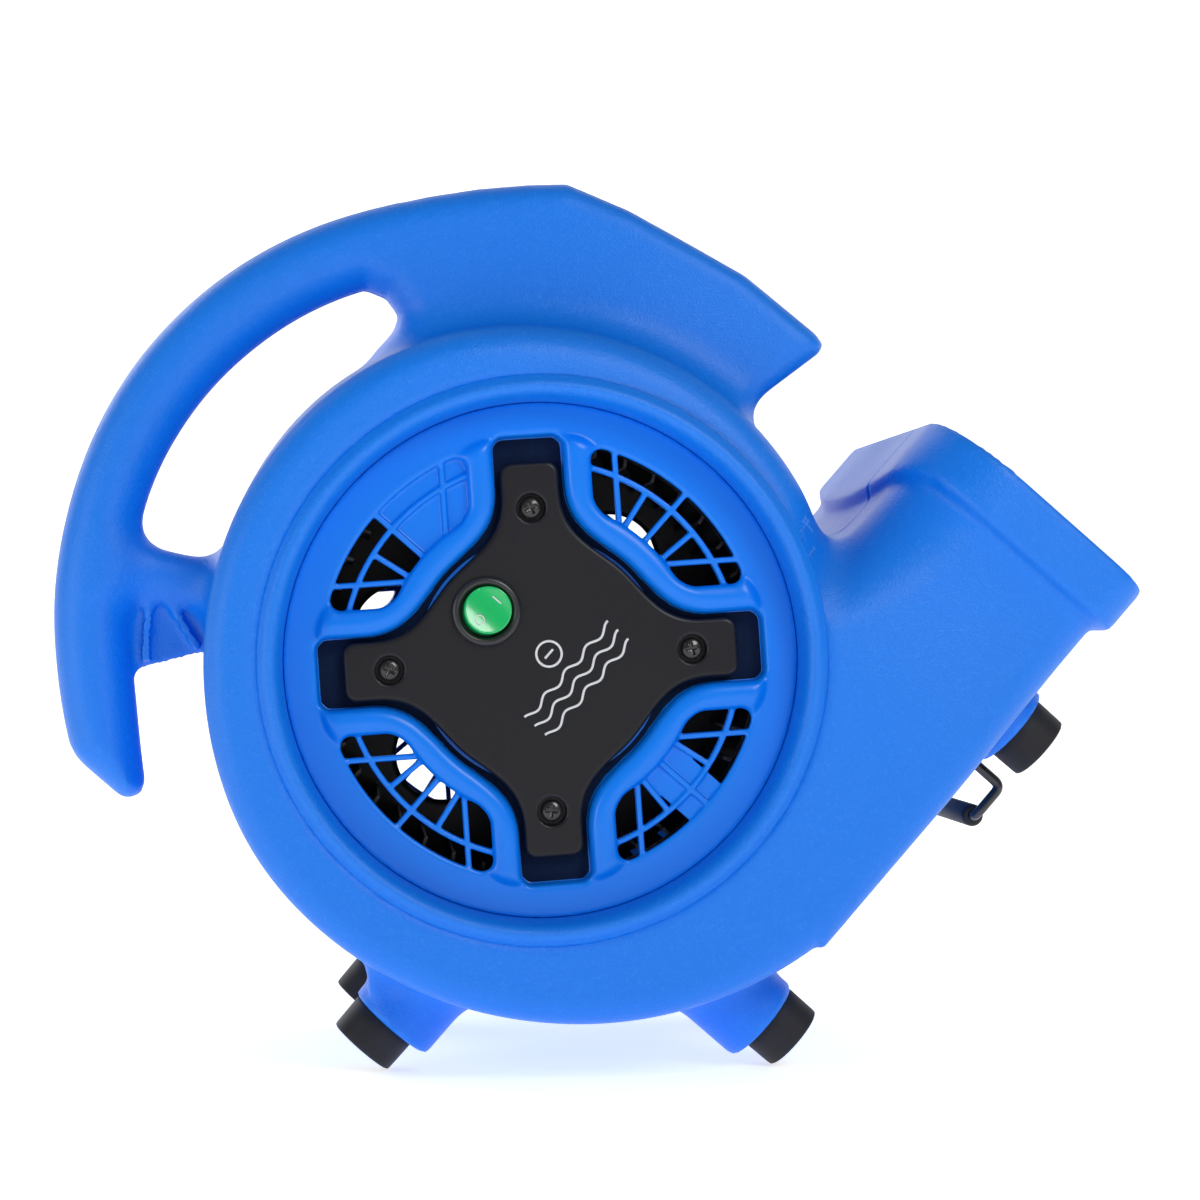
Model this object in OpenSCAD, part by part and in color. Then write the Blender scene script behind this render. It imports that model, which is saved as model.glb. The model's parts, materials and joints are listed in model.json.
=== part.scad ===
// Small carpet-drying blower: a scroll housing in two half shells with a squirrel-cage
// wheel between two round inlets, standing tilted on the corners of four of its feet.
// The fan frame has its origin on the wheel's axis, midway between the two inlets.
// In it +X runs along the outlet duct, Y along the wheel's axis and +Z away from the soles.

/* [Housing] */
// Half of the housing's depth, from the middle to a side face
half_depth = 107; // [105:1:110]
// Wall thickness of the shells
wall = 3; // [2.5:0.5:3.5]
// Radius of the round inlet recess in each side
inlet_r = 84.5; // [84:0.5:85.5]
// Distance from the wheel's axis to the outlet mouth
mouth_x = 149; // [147:1:151]
// Lowest height of the duct below the wheel's axis
duct_floor_z = -132.5; // [-133.5:0.5:-131.5]
// Height of the duct's top wall, below the wheel's axis
duct_top_z = -52.5; // [-54:0.5:-52]
// Depth of the parting plane between the two shells
part_y = -50; // [-54:1:-46]

/* [Wheel] */
// Outer radius of the impeller
wheel_r = 81; // [78:1:83]
// Number of blades in the impeller
blade_count = 42; // [30:1:48]

/* [Stance] */
// Angle that the duct points above the floor
stand_angle = 49; // [49:1:49]
// Height of the soles below the wheel's axis
sole_z = -152.6; // [-153:0.1:-152]
// Distance from the wheel's axis to the rear foot face
rear_foot_x = -138.2; // [-139:0.1:-137]
// Distance of each foot from the middle
foot_y = 58; // [56:1:60]

/* [Hidden] */
$fn = 64;
tiny = 0.01;

// Stance: where the wheel's axis stands, so that the feet touch the floor
foot_r = 12;
middle_foot_x = -40.3;
nose_foot_x = 91;
rear_foot_z = -41.78;
foot_h = 12;
lug_shift = 2.5;
axis_z = -(sin(stand_angle) * (middle_foot_x - foot_r) + cos(stand_angle) * sole_z);
lip_x = 129;
lip_proud = 4.5;
mouth_reach = cos(stand_angle) * mouth_x + sin(stand_angle) * (lip_proud - duct_floor_z);

// Scroll: radius at the side faces by angle about the axis, growing from tongue to floor
scroll_keys = [[-38, 98.5], [4, 104], [60, 110.5], [132, 110.5], [156, 112], [185, 114],
               [210, 116.8], [228, 120], [243, 124], [270, 132.5]];
// Its side walls step in towards each face: depth, share of the bulge, edge drop, end of the layer
bulge = 6.5;
scroll_layers = [[half_depth - 25, 1, 0, lip_x], [half_depth - 8, 0.4, 0, lip_x], [half_depth, 0, 3.5, 70]];
valley_z = -75;
tongue_angle = -36;
scroll_step = 6;

// Handle: an arc about the axis, from its root above the duct to its tail
handle_outer = [[36, 162], [48, 161.6], [60, 163], [72, 166.5], [84, 168.5], [96, 169.2],
                [108, 167.5], [124, 164.5], [140, 160.8], [155, 158.5]];
handle_inner = [[36, 137], [60, 137], [68, 139.8], [84, 143], [100, 143.4], [112, 142],
                [124, 138.5], [136, 136], [144, 137.2], [155, 141]];
handle_half = 13.5;
handle_end_x = -128;
handle_end_z = 71;
beak_half = 24;
bridge_angle = 118.6;
bridge_w = 19;

// Outlet duct and lip: rounded rectangles across the flow
duct_half = 102;
duct_corner = 24;

// Inlet side: depths of its faces from the middle
face_y = 95;
grille_t = 3;
floor_y = 87;
floor_t = 2.5;
cover_y = 92.5;
cover_t = 2.5;
ledge_y = face_y - grille_t;
window_in = 52;
window_out = 72.3;
screw_pcd_r = 50.2;
pocket_half = 73.8;
pocket_w = 23.3;
tub_r = 40;
arm_half = 65.2;
arm_w = 19.5;
switch_z = 24.2;

// Motor, along the wheel's axis
shaft_r = 4;
shaft_gap = 0.05;
can_r = 36;
motor_front = 5;
motor_back = 54;
bearing_w = 7;
bearing_r = 11;
rear_tub_y = 62;
front_tub_y = 52;
bolt_r = 28;

// Bail: a wire stand that folds out from under the duct
bail_x = 74.5;
bail_z = -137.5;
bail_y = 38;
bail_wire_r = 1.8;
bail_reach = 14;
bail_drop = 17.5;

housing_bolts = [[60, 150], [92, 156], [124, 151.5]];

function polar(r, a) = [r * cos(a), r * sin(a)];
function bulge_at(a) = bulge * max(0, min(1, (170 - a) / 90));
function scroll_points(share, inset) =
    [for (a = [tongue_angle : scroll_step : 270]) polar(lookup(a, scroll_keys) + share * bulge_at(a) - inset, a)];
function band_points(outer, inner, a0, a1, inset) = concat(
    [for (a = [a0 : 4 : a1]) polar(lookup(a, outer) - inset, a)],
    [for (a = [a1 : -4 : a0]) polar(lookup(a, inner) + inset, a)]);

handle_reach = max([for (a = [100 : 4 : 148]) -lookup(a, handle_outer) * cos(a + stand_angle)]);
axis_x = (handle_reach - mouth_reach) / 2;

// Turns the fan frame into the way the blower stands
module standing() {
    translate([axis_x, 0, axis_z]) rotate([0, -stand_angle, 0]) children();
}
// Extrudes a fan-side outline (x, z) from depth y0 to depth y1
module slab(y0, y1) {
    translate([0, y1, 0]) rotate([90, 0, 0]) linear_extrude(y1 - y0) children();
}
// A round bar along the wheel's axis, at (x, z), from depth y0 to depth y1
module bar(r, y0, y1, x = 0, z = 0) {
    translate([x, y1, z]) rotate([90, 0, 0]) cylinder(r = r, h = y1 - y0);
}
module tube(r_out, r_in, y0, y1, x = 0, z = 0) {
    difference() {
        bar(r_out, y0, y1, x, z);
        bar(r_in, y0 - 1, y1 + 1, x, z);
    }
}
// Repeats its children at the four arms of the inlet cross
module at_arms(r = screw_pcd_r) {
    for (a = [45 : 90 : 315]) translate([r * cos(a), 0, r * sin(a)]) children();
}

// A rectangle with round corners, centred
module round_rect(w, h, r) {
    square([w - 2 * r, h], center = true);
    square([w, h - 2 * r], center = true);
    for (sx = [-1, 1]) for (sy = [-1, 1])
        translate([sx * (w / 2 - r), sy * (h / 2 - r)]) circle(r = r);
}
// The duct's cross-section, grown by proud, from x0 to x1 along the flow
module duct_block(x0, x1, proud) {
    duct_h = duct_top_z - duct_floor_z;
    translate([x0, 0, (duct_top_z + duct_floor_z) / 2]) rotate([90, 0, 90])
        linear_extrude(x1 - x0)
            round_rect(2 * (duct_half + proud), duct_h + 2 * proud, duct_corner + proud);
}
module scroll_outline(share, inset, x_end) {
    polygon(concat(scroll_points(share, inset),
        [[x_end, duct_floor_z + inset], [x_end, valley_z - inset], [76, valley_z - inset]]));
}
module scroll_block(inset) {
    for (k = scroll_layers)
        slab(-k[0] + inset, 0) scroll_outline(k[1], k[2] + inset, k[3] - (k[3] < lip_x ? inset : 0));
}
module handle_outline(inset) {
    intersection() {
        polygon(band_points(handle_outer, handle_inner, 36, 152, inset));
        translate([handle_end_x + inset, handle_end_z + inset]) square([400, 300]);
    }
}
module root_outline() {
    difference() {
        polygon(concat([[108, 4.2], [142, -5.2], [145.5, -4.5], [146.2, 0], [145.2, 32], [135.5, 77], [128.7, 98.5]],
            [for (a = [42 : 4 : 62]) polar(lookup(a, handle_outer), a)],
            [polar(150, 66), polar(140, 66.5), polar(134, 64.5), polar(128, 63.5), polar(120, 64.5), polar(112, 67)],
            [for (a = [62 : -6 : 4]) polar(100, a)]));
        circle(r = 99);
    }
}
module bridge_outline() {
    rotate(bridge_angle) translate([105, -bridge_w / 2]) square([50, bridge_w]);
}
module web_outline() {
    polygon([polar(108, 119), polar(148, 119), polar(148, 132), polar(136, 132.6), polar(108, 129)]);
}
// Lugs that carry the feet on the front side
module lug(r) {
    translate([rear_foot_x + foot_h, -foot_y, rear_foot_z - lug_shift]) rotate([0, 90, 0])
        cylinder(r = r, h = 26);
    translate([middle_foot_x - lug_shift, -foot_y, sole_z + foot_h]) cylinder(r = r, h = 28);
    translate([nose_foot_x - 1, -foot_y, sole_z + foot_h]) cylinder(r = r, h = 12);
}
// One side of the scroll and duct, from the middle outwards
module side_form() {
    difference() {
        union() {
            difference() {
                union() {
                    scroll_block(0);
                    intersection() {
                        union() {
                            duct_block(40, lip_x + 4, 0);
                            duct_block(lip_x, mouth_x, lip_proud);
                        }
                        translate([0, -200, -200]) cube([300, 200, 300]);
                    }
                    lug(16);
                }
                scroll_block(wall);
                intersection() {
                    duct_block(39, mouth_x + 1, -wall);
                    translate([0, -200, -200]) cube([300, 200 + tiny, 300]);
                }
            }
            tube(inlet_r + wall, inlet_r, -half_depth, -ledge_y + 2.5);
            tube(inlet_r + wall, inlet_r - 5, -ledge_y, -ledge_y + 2.5);
            rotate([90, 0, 0]) translate([0, 0, half_depth - 1])
                rotate_extrude() translate([inlet_r + 5, 0]) circle(r = 3);
        }
        bar(inlet_r, -half_depth - 5, -ledge_y);
        bar(inlet_r - 5, -half_depth - 5, -ledge_y + 4);
        foot_bores();
    }
}
// One side of the carrying arm, from the parting plane outwards
module arm_side() {
    difference() {
        union() {
            slab(-handle_half, 0) handle_outline(2.5);
            slab(-handle_half + 3, 0) handle_outline(0);
            slab(-beak_half, 0) root_outline();
            slab(-10, 0) bridge_outline();
            slab(-3, 0) web_outline();
        }
        slab(-handle_half + wall, tiny) handle_outline(wall + 1);
        slab(-beak_half + wall, tiny) intersection() {
            translate([116, 10]) square([24, 24]);
            root_outline();
        }
        bar(106, -half_depth, 1);
    }
    for (p = housing_bolts) bar(4.5, -handle_half + 1, 0, p[1] * cos(p[0]), p[1] * sin(p[0]));
}
// Both shells in one, before they are parted
module housing_form() {
    side_form();
    mirror([0, 1, 0]) side_form();
    translate([0, part_y, 0]) {
        arm_side();
        mirror([0, 1, 0]) arm_side();
    }
}
module foot_bores() {
    translate([rear_foot_x + foot_h - 1, -foot_y, rear_foot_z]) rotate([0, 90, 0]) cylinder(r = 1.8, h = 14);
    translate([middle_foot_x, -foot_y, sole_z + foot_h - 1]) cylinder(r = 1.8, h = 14);
    translate([nose_foot_x, -foot_y, sole_z + foot_h - 1]) cylinder(r = 1.8, h = 14);
}
module front_housing_shell() {
    color("royalblue") standing() difference() {
        housing_form();
        translate([-300, part_y, -300]) cube(600);
        translate([0, part_y, 0]) for (p = housing_bolts) bar(1.7, -10, 1, p[1] * cos(p[0]), p[1] * sin(p[0]));
    }
}
module rear_housing_shell() {
    color("royalblue") standing() difference() {
        housing_form();
        translate([-300, part_y - 600, -300]) cube(600);
        translate([0, part_y, 0]) for (p = housing_bolts) {
            bar(2.1, -1, 20, p[1] * cos(p[0]), p[1] * sin(p[0]));
            bar(4, handle_half - 5.5, 20, p[1] * cos(p[0]), p[1] * sin(p[0]));
        }
    }
}
module housing_screws() {
    color("silver") standing() translate([0, part_y, 0]) for (p = housing_bolts) {
        bar(3.6, handle_half - 5.5, handle_half - 3, p[1] * cos(p[0]), p[1] * sin(p[0]));
        bar(1.65, -9, handle_half - 5.5 + tiny, p[1] * cos(p[0]), p[1] * sin(p[0]));
    }
}

// Inlet grille: a disc with four quarter windows, ribs, a cross pocket and a round tub
module cross_outline(half, w, disc) {
    circle(r = disc);
    for (a = [45, 135]) rotate(a) square([2 * half, w], center = true);
}
module window_outline() {
    difference() {
        circle(r = window_out);
        circle(r = window_in);
        for (a = [45, 135]) rotate(a) square([200, pocket_w + 12], center = true);
    }
}
module rib_outline() {
    rib = 1.8;
    difference() { circle(r = 66.3); circle(r = 64.5); }
    for (q = [0 : 90 : 270]) {
        rotate(q) translate([50, -rib / 2]) square([24, rib]);
        for (s = [-9, 9]) rotate(q + s) translate([51, -rib / 2]) square([15, rib]);
        for (s = [-1, 1]) rotate(q + 45 * s) translate([20, -s * 28.7 - rib / 2]) square([56, rib]);
    }
}
module inlet_grille(tub_y) {
    difference() {
        union() {
            slab(-face_y, -ledge_y) difference() {
                circle(r = inlet_r - 0.3);
                window_outline();
            }
            slab(-ledge_y - tiny, -floor_y + floor_t) difference() {
                cross_outline(pocket_half + 2, pocket_w + 4, 46);
                cross_outline(pocket_half, pocket_w, 43);
            }
            slab(-floor_y, -floor_y + floor_t) cross_outline(pocket_half + 1, pocket_w + 2, 44.5);
            slab(-face_y + 1, -ledge_y + 4) intersection() {
                rib_outline();
                difference() { circle(r = window_out + 2); circle(r = window_in - 2); }
            }
            bar(tub_r, -floor_y + tiny, -tub_y);
            at_arms() bar(4.5, -floor_y, -floor_y + 9);
        }
        slab(-face_y - 1, -floor_y) cross_outline(pocket_half, pocket_w, 43);
        bar(tub_r - 2.5, -floor_y - 1, -tub_y - 2.5);
        at_arms() bar(1.8, -floor_y - 1, -floor_y + 10);
    }
}
module front_inlet_grille() {
    color("dodgerblue") standing() inlet_grille(front_tub_y);
}
module rear_inlet_grille() {
    color("dodgerblue") standing() difference() {
        mirror([0, 1, 0]) inlet_grille(rear_tub_y);
        bar(12, rear_tub_y - 1, rear_tub_y + 3);
        for (a = [90 : 120 : 330]) bar(2.2, rear_tub_y - 1, rear_tub_y + 3, bolt_r * cos(a), bolt_r * sin(a));
    }
}

// Cover plate: a four-armed cap that closes the cross pocket
module cover_plate() {
    difference() {
        union() {
            slab(-cover_y, -cover_y + cover_t) {
                cross_outline(arm_half - 5, arm_w, tub_r);
                for (a = [45 : 90 : 315]) rotate(a) translate([arm_half - 10, 0]) round_rect(20, arm_w, 6);
            }
            at_arms() bar(7, -cover_y, -floor_y);
        }
        at_arms() bar(4.75, -cover_y - 1, -floor_y - 1.5);
        at_arms() bar(2.2, -cover_y - 1, -floor_y + 1);
    }
}
module cover_screws() {
    at_arms() {
        bar(3.6, -floor_y - 4, -floor_y - 1.5);
        bar(1.75, -floor_y - 1.5 - tiny, -floor_y + 8);
    }
}
module front_cover_plate() {
    color("dimgray") standing() difference() {
        cover_plate();
        bar(10, -cover_y - 1, -floor_y, 0, switch_z);
    }
}
module rear_cover_plate() {
    color("dimgray") standing() difference() {
        mirror([0, 1, 0]) cover_plate();
        bar(3.5, floor_y, cover_y + 1);
        bar(7.2, floor_y, cover_y + 1, 0, -24);
        bar(5.2, floor_y, cover_y + 1, -24, 0);
    }
}
module front_cover_screws() {
    color("silver") standing() cover_screws();
}
module rear_cover_screws() {
    color("silver") standing() mirror([0, 1, 0]) cover_screws();
}

// Ion switch: a round panel rocker in the front cover plate
module ion_switch_body() {
    color("black") standing() difference() {
        union() {
            bar(11.5, -cover_y - 2, -cover_y, 0, switch_z);
            bar(9.9, -cover_y - tiny, -73, 0, switch_z);
            for (x = [-4, 4]) translate([x - 1.5, -73 - tiny, switch_z - 0.4]) cube([3, 8, 0.8]);
        }
        bar(8.6, -cover_y - 3, -81, 0, switch_z);
    }
}
module ion_switch_rocker() {
    color("limegreen") standing() translate([0, -cover_y + 2, switch_z]) rotate([0, 0, 7])
        difference() {
            union() {
                bar(7.9, -5.2, 0);
                cylinder(r = 2, h = 15, center = true);
            }
            translate([0, -58.6, 0]) cylinder(r = 54, h = 40, center = true, $fn = 180);
        }
}
module ioniser_module() {
    color("darkslategray") standing() {
        translate([-17, -68, -26]) cube([34, 13, 24]);
        translate([-15, -69.5, -24]) cube([30, 1.5 + tiny, 20]);
    }
}
module ion_emitter() {
    color("gold") standing() {
        bar(2.5, -front_tub_y, -front_tub_y + 4, 0, -14);
        bar(0.8, -front_tub_y + 4 - tiny, -front_tub_y + 9, 0, -14);
    }
}
module run_capacitor() {
    color("ivory") standing() translate([-18.5, -69, 2]) cube([37, 14, 13]);
}

// Impeller: blades between two end rings, carried on a spoked disc at the middle
module wheel_blade() {
    translate([wheel_r - 6.4, 0, 0]) rotate([0, 52, 0]) translate([-6.5, 0, -0.5]) cube([13, 160, 1]);
}
module impeller_wheel() {
    color("black") standing() {
        difference() {
            union() {
                for (s = [-1, 1]) tube(wheel_r, wheel_r - 8, min(s * 78, s * 82), max(s * 78, s * 82));
                bar(wheel_r - 2, -6, -3);
                for (i = [1 : blade_count]) rotate([0, i * 360 / blade_count, 0])
                    translate([0, -80, 0]) wheel_blade();
            }
            bar(12, -8, 0);
            for (i = [0 : 5]) rotate([0, i * 60, 0]) {
                bar(13, -8, 0, 48, 0);
            }
        }
    }
}
module impeller_hub() {
    color("gray") standing() difference() {
        union() {
            bar(12, -14, 2);
            bar(16, -3, 0);
        }
        bar(shaft_r, -15, 3);
        translate([0, -10, 3]) cylinder(r = 2, h = 12);
    }
}
module hub_set_screw() {
    color("silver") standing() translate([0, -10, shaft_r]) cylinder(r = 2, h = 6);
}
module motor_shaft() {
    color("silver") standing() bar(shaft_r, -13, motor_back + 2);
}
module motor_rotor() {
    color("slategray") standing() tube(19.4, shaft_r, 18, 41);
}
module motor_stator() {
    color("peru") standing() {
        tube(can_r - 3, 20, 20, 39);
        for (y = [15, 39 - tiny]) tube(29, 22, y, y + 5);
    }
}
module motor_can() {
    color("lightgray") standing() tube(can_r, can_r - 3, motor_front + 4, motor_back - 4);
}
module end_bell(y0) {
    tube(can_r, bearing_r, y0, y0 + 4);
}
module front_end_bell() {
    color("gainsboro") standing() {
        end_bell(motor_front);
        tube(bearing_r + 3, bearing_r, motor_front + 4 - tiny, motor_front + bearing_w);
    }
}
module rear_end_bell() {
    color("gainsboro") standing() {
        end_bell(motor_back - 4);
        tube(bearing_r + 3, bearing_r, motor_back - bearing_w, motor_back - 4 + tiny);
    }
}
module front_bearing() {
    color("silver") standing() tube(bearing_r, shaft_r + shaft_gap, motor_front, motor_front + bearing_w);
}
module rear_bearing() {
    color("silver") standing() tube(bearing_r, shaft_r + shaft_gap, motor_back - bearing_w, motor_back);
}
module motor_bracket() {
    color("dimgray") standing() difference() {
        bar(can_r, motor_back, motor_back + 2);
        bar(14, motor_back - 1, motor_back + 3);
        for (a = [90 : 120 : 330])
            bar(2.2, motor_back - 1, motor_back + 3, bolt_r * cos(a), bolt_r * sin(a));
    }
}
module motor_isolators() {
    color("black") standing() for (a = [90 : 120 : 330])
        tube(6, 2.2, motor_back + 2, rear_tub_y, bolt_r * cos(a), bolt_r * sin(a));
}
module motor_bolts() {
    color("silver") standing() for (a = [90 : 120 : 330]) {
        bar(2, motor_back + tiny, rear_tub_y + 5, bolt_r * cos(a), bolt_r * sin(a));
        bar(3.5, rear_tub_y + 2.5, rear_tub_y + 5.5, bolt_r * cos(a), bolt_r * sin(a), $fn = 6);
    }
}

// Controls in the rear cover plate
module terminal_block() {
    color("ivory") standing() translate([15, rear_tub_y + 2.5, -8]) cube([10, 14, 30]);
}
module speed_switch_body() {
    color("black") standing() {
        difference() {
            translate([-12, 73, -12]) cube([24, cover_y - cover_t - 73, 24]);
            bar(3 + shaft_gap, 83, cover_y);
        }
    }
}
module speed_knob() {
    color("black") standing() {
        bar(14, cover_y + 0.4, cover_y + 4);
        intersection() {
            bar(12.5, cover_y + 3, cover_y + 13);
            translate([-3.5, 0, -20]) cube([7, 200, 40]);
        }
        bar(3, 84, cover_y + 1);
    }
}
module breaker_body() {
    color("black") standing() difference() {
        union() {
            bar(7, cover_y, cover_y + 1.6, -24, 0);
            bar(5.1, cover_y - 16, cover_y + tiny, -24, 0);
        }
        bar(3.4, cover_y - 7, cover_y + 3, -24, 0);
    }
}
module breaker_button() {
    color("white") standing() bar(3.1, cover_y - 3.6, cover_y + 4.6, -24, 0);
}
module cord_gland() {
    color("black") standing() difference() {
        union() {
            bar(7.1, cover_y - 7.5, cover_y + tiny, 0, -24);
            bar(9.5, cover_y, cover_y + 5, 0, -24);
            bar(7, cover_y + 5 - tiny, cover_y + 12, 0, -24);
        }
        bar(3.6, cover_y - 8.5, cover_y + 13, 0, -24);
    }
}

// Feet: rubber buffers with a screw up the middle, one each side
module foot() {
    difference() {
        cylinder(r = foot_r, h = foot_h);
        translate([0, 0, -1]) cylinder(r = 4.5, h = 7);
        cylinder(r = 2.1, h = foot_h + 1);
    }
}
module foot_screw() {
    translate([0, 0, 3.4]) cylinder(r = 3.8, h = 2.6);
    translate([0, 0, 6 - tiny]) cylinder(r = 1.75, h = 14);
}
module at_rear_feet() {
    for (s = [-1, 1]) translate([rear_foot_x, s * foot_y, rear_foot_z]) rotate([0, 90, 0]) children();
}
module at_sole(x) {
    for (s = [-1, 1]) translate([x, s * foot_y, sole_z]) children();
}
module rear_rubber_feet() { color("black") standing() at_rear_feet() foot(); }
module middle_rubber_feet() { color("black") standing() at_sole(middle_foot_x) foot(); }
module nose_rubber_feet() { color("black") standing() at_sole(nose_foot_x) foot(); }
module foot_screws() {
    color("silver") standing() {
        at_rear_feet() foot_screw();
        at_sole(middle_foot_x) foot_screw();
        at_sole(nose_foot_x) foot_screw();
    }
}

// Bail: wire arms hooked into two clips under the duct, joined by a sleeved bar
module bail_wire() {
    color("black") standing() {
        for (s = [-1, 1]) {
            translate([bail_x, s * bail_y, bail_z]) {
                rotate([-90 * s, 0, 0]) translate([0, 0, -20]) cylinder(r = bail_wire_r, h = 20);
                sphere(r = bail_wire_r);
                translate([0, 0, -bail_drop]) cylinder(r = bail_wire_r, h = bail_drop);
                translate([0, 0, -bail_drop]) sphere(r = bail_wire_r);
                translate([-bail_reach, 0, -bail_drop]) rotate([0, 90, 0])
                    cylinder(r = bail_wire_r, h = bail_reach);
                translate([-bail_reach, 0, -bail_drop]) sphere(r = bail_wire_r);
            }
        }
        bar(bail_wire_r, -bail_y, bail_y, bail_x - bail_reach, bail_z - bail_drop);
    }
}
module bail_sleeve() {
    color("black") standing()
        tube(4, bail_wire_r, -bail_y + 3, bail_y - 3, bail_x - bail_reach, bail_z - bail_drop);
}
module bail_clips() {
    color("black") standing() for (s = [-1, 1]) difference() {
        translate([bail_x - 5, s * 28 - 5, bail_z - 4]) cube([10, 10, duct_floor_z - bail_z + 4]);
        bar(bail_wire_r + shaft_gap, s * 28 - 6, s * 28 + 6, bail_x, bail_z);
    }
}

front_housing_shell();
rear_housing_shell();
housing_screws();
front_inlet_grille();
rear_inlet_grille();
front_cover_plate();
front_cover_screws();
rear_cover_plate();
rear_cover_screws();
ion_switch_body();
ion_switch_rocker();
ioniser_module();
ion_emitter();
run_capacitor();
impeller_wheel();
impeller_hub();
hub_set_screw();
motor_shaft();
motor_rotor();
motor_stator();
motor_can();
front_end_bell();
rear_end_bell();
front_bearing();
rear_bearing();
motor_bracket();
motor_isolators();
motor_bolts();
terminal_block();
speed_switch_body();
speed_knob();
breaker_body();
breaker_button();
cord_gland();
rear_rubber_feet();
middle_rubber_feet();
nose_rubber_feet();
foot_screws();
bail_wire();
bail_sleeve();
bail_clips();
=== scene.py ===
# %% [markdown]
# # A small carpet blower, piece by piece
# The blower is a scroll housing of grained blue plastic with a round inlet in each side, a cage
# wheel between the inlets and one wide outlet. It stands tilted on the corners of four rubber feet.
# The working model comes first and is never moved: it holds every joint and every fit. This
# script builds the moulded shapes and the finishes round it, in metres, in the same frame.

import json
import math

import bpy
import numpy as np
from mathutils import Matrix, Vector


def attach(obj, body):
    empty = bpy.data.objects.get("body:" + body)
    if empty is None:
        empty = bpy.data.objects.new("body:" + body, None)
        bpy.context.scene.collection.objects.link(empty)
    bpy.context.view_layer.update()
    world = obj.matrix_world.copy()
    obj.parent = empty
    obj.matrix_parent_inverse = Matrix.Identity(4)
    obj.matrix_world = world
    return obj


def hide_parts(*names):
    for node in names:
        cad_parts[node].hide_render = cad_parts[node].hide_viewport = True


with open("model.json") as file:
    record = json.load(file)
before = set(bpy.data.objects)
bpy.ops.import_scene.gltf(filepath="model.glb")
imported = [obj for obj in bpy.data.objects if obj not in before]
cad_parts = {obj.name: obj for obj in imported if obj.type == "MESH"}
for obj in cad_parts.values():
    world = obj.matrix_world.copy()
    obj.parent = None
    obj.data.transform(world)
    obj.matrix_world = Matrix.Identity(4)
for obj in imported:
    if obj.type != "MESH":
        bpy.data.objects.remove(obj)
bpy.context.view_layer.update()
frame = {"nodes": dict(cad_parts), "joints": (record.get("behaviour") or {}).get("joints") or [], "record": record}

# %% [markdown]
# Every moulding is easiest to describe as its designer draws it: in millimetres, from the wheel's
# axis, with the duct running along +X. The blower then stands tilted. One matrix holds that turn,
# so each piece is modelled level and turned as its mesh is made. The axis itself is read from the
# wheel's joint, so it can't drift from the working model.

# %% The fan frame
MM = 0.001
SIDES = (("front", -1), ("rear", 1))  # the ion switch is on the front side
PIECE_SHARP, NODE_SHARP = 40, 32  # degrees past which an edge is shaded sharp
STAND_ANGLE = math.radians(49)
joints = {j["name"]: j for j in frame["joints"]}
fan_axis = Vector(joints["impeller_spin"]["pos_m"])
FAN = Matrix.Translation(fan_axis) @ Matrix.Rotation(-STAND_ANGLE, 4, "Y") @ Matrix.Scale(MM, 4)
FAN_ROWS = np.array(FAN)[:3]
print("wheel axis at", [round(c, 4) for c in fan_axis])


def to_frame(points):
    """Fan-frame millimetres to frame metres, for an array of points."""
    points = np.asarray(points, float)
    return points @ FAN_ROWS[:, :3].T + FAN_ROWS[:, 3]


def make_piece(name, parts, material, body, stands_for=()):
    """One object from (points, faces) parts in the fan frame, riding on a body."""
    points, faces, start = [], [], 0
    for part_points, part_faces in parts:
        points.append(np.asarray(part_points, float))
        rows = part_faces.tolist() if isinstance(part_faces, np.ndarray) else part_faces
        faces.extend([i + start for i in face] for face in rows)
        start += len(part_points)
    mesh = bpy.data.meshes.new(name)
    mesh.from_pydata(to_frame(np.concatenate(points)).tolist(), [], faces)
    mesh.validate()
    mesh.shade_smooth()
    mesh.set_sharp_from_angle(angle=math.radians(PIECE_SHARP))
    mesh.materials.append(material)
    piece = bpy.data.objects.new(name, mesh)
    bpy.context.scene.collection.objects.link(piece)
    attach(piece, body)
    if stands_for:
        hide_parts(*stands_for)
    print(f"{name}: {len(mesh.vertices)} points, {len(mesh.polygons)} faces")
    return piece


# %% [markdown]
# Moulded plastic has no sharp inner corners: walls flow into each other through fillets. Bevels on
# a mesh this tangled would fail, so the shells are drawn as distance fields instead. A field is
# negative inside the plastic, two fields join with a smooth minimum that leaves a fillet, and one
# surface is drawn where the field is zero. The skin below puts one point in each cell that the
# surface crosses and one square across each grid edge that it crosses.

# %% Distance fields and their skin
def smooth_min(a, b, fillet):
    """The nearer of two shapes, with a fillet where they meet."""
    h = np.clip(0.5 + 0.5 * (b - a) / fillet, 0, 1)
    return b * (1 - h) + a * h - fillet * h * (1 - h)


def round_max(a, b, radius):
    """What two shapes share, with the edge between them rounded."""
    a, b = a + radius, b + radius
    return np.minimum(np.maximum(a, b), 0) + np.hypot(np.maximum(a, 0), np.maximum(b, 0)) - radius


def ramp(value, low, high):
    """Smoothly from 0 at low to 1 at high."""
    t = np.clip((value - low) / (high - low), 0, 1)
    return t * t * (3 - 2 * t)


def outline_distance(x, z, corners):
    """Signed distance to a closed outline of straight stretches."""
    distance = np.full(np.broadcast(x, z).shape, 1e9)
    inside = np.zeros(distance.shape, bool)
    for (ax, az), (bx, bz) in zip(corners, corners[1:] + corners[:1]):
        ex, ez = bx - ax, bz - az
        t = np.clip(((x - ax) * ex + (z - az) * ez) / (ex * ex + ez * ez), 0, 1)
        distance = np.minimum(distance, np.hypot(x - ax - t * ex, z - az - t * ez))
        if az != bz:
            crosses = (az > z) != (bz > z)
            inside ^= crosses & (x < ex * (z - az) / ez + ax)
    return np.where(inside, -distance, distance)


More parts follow.
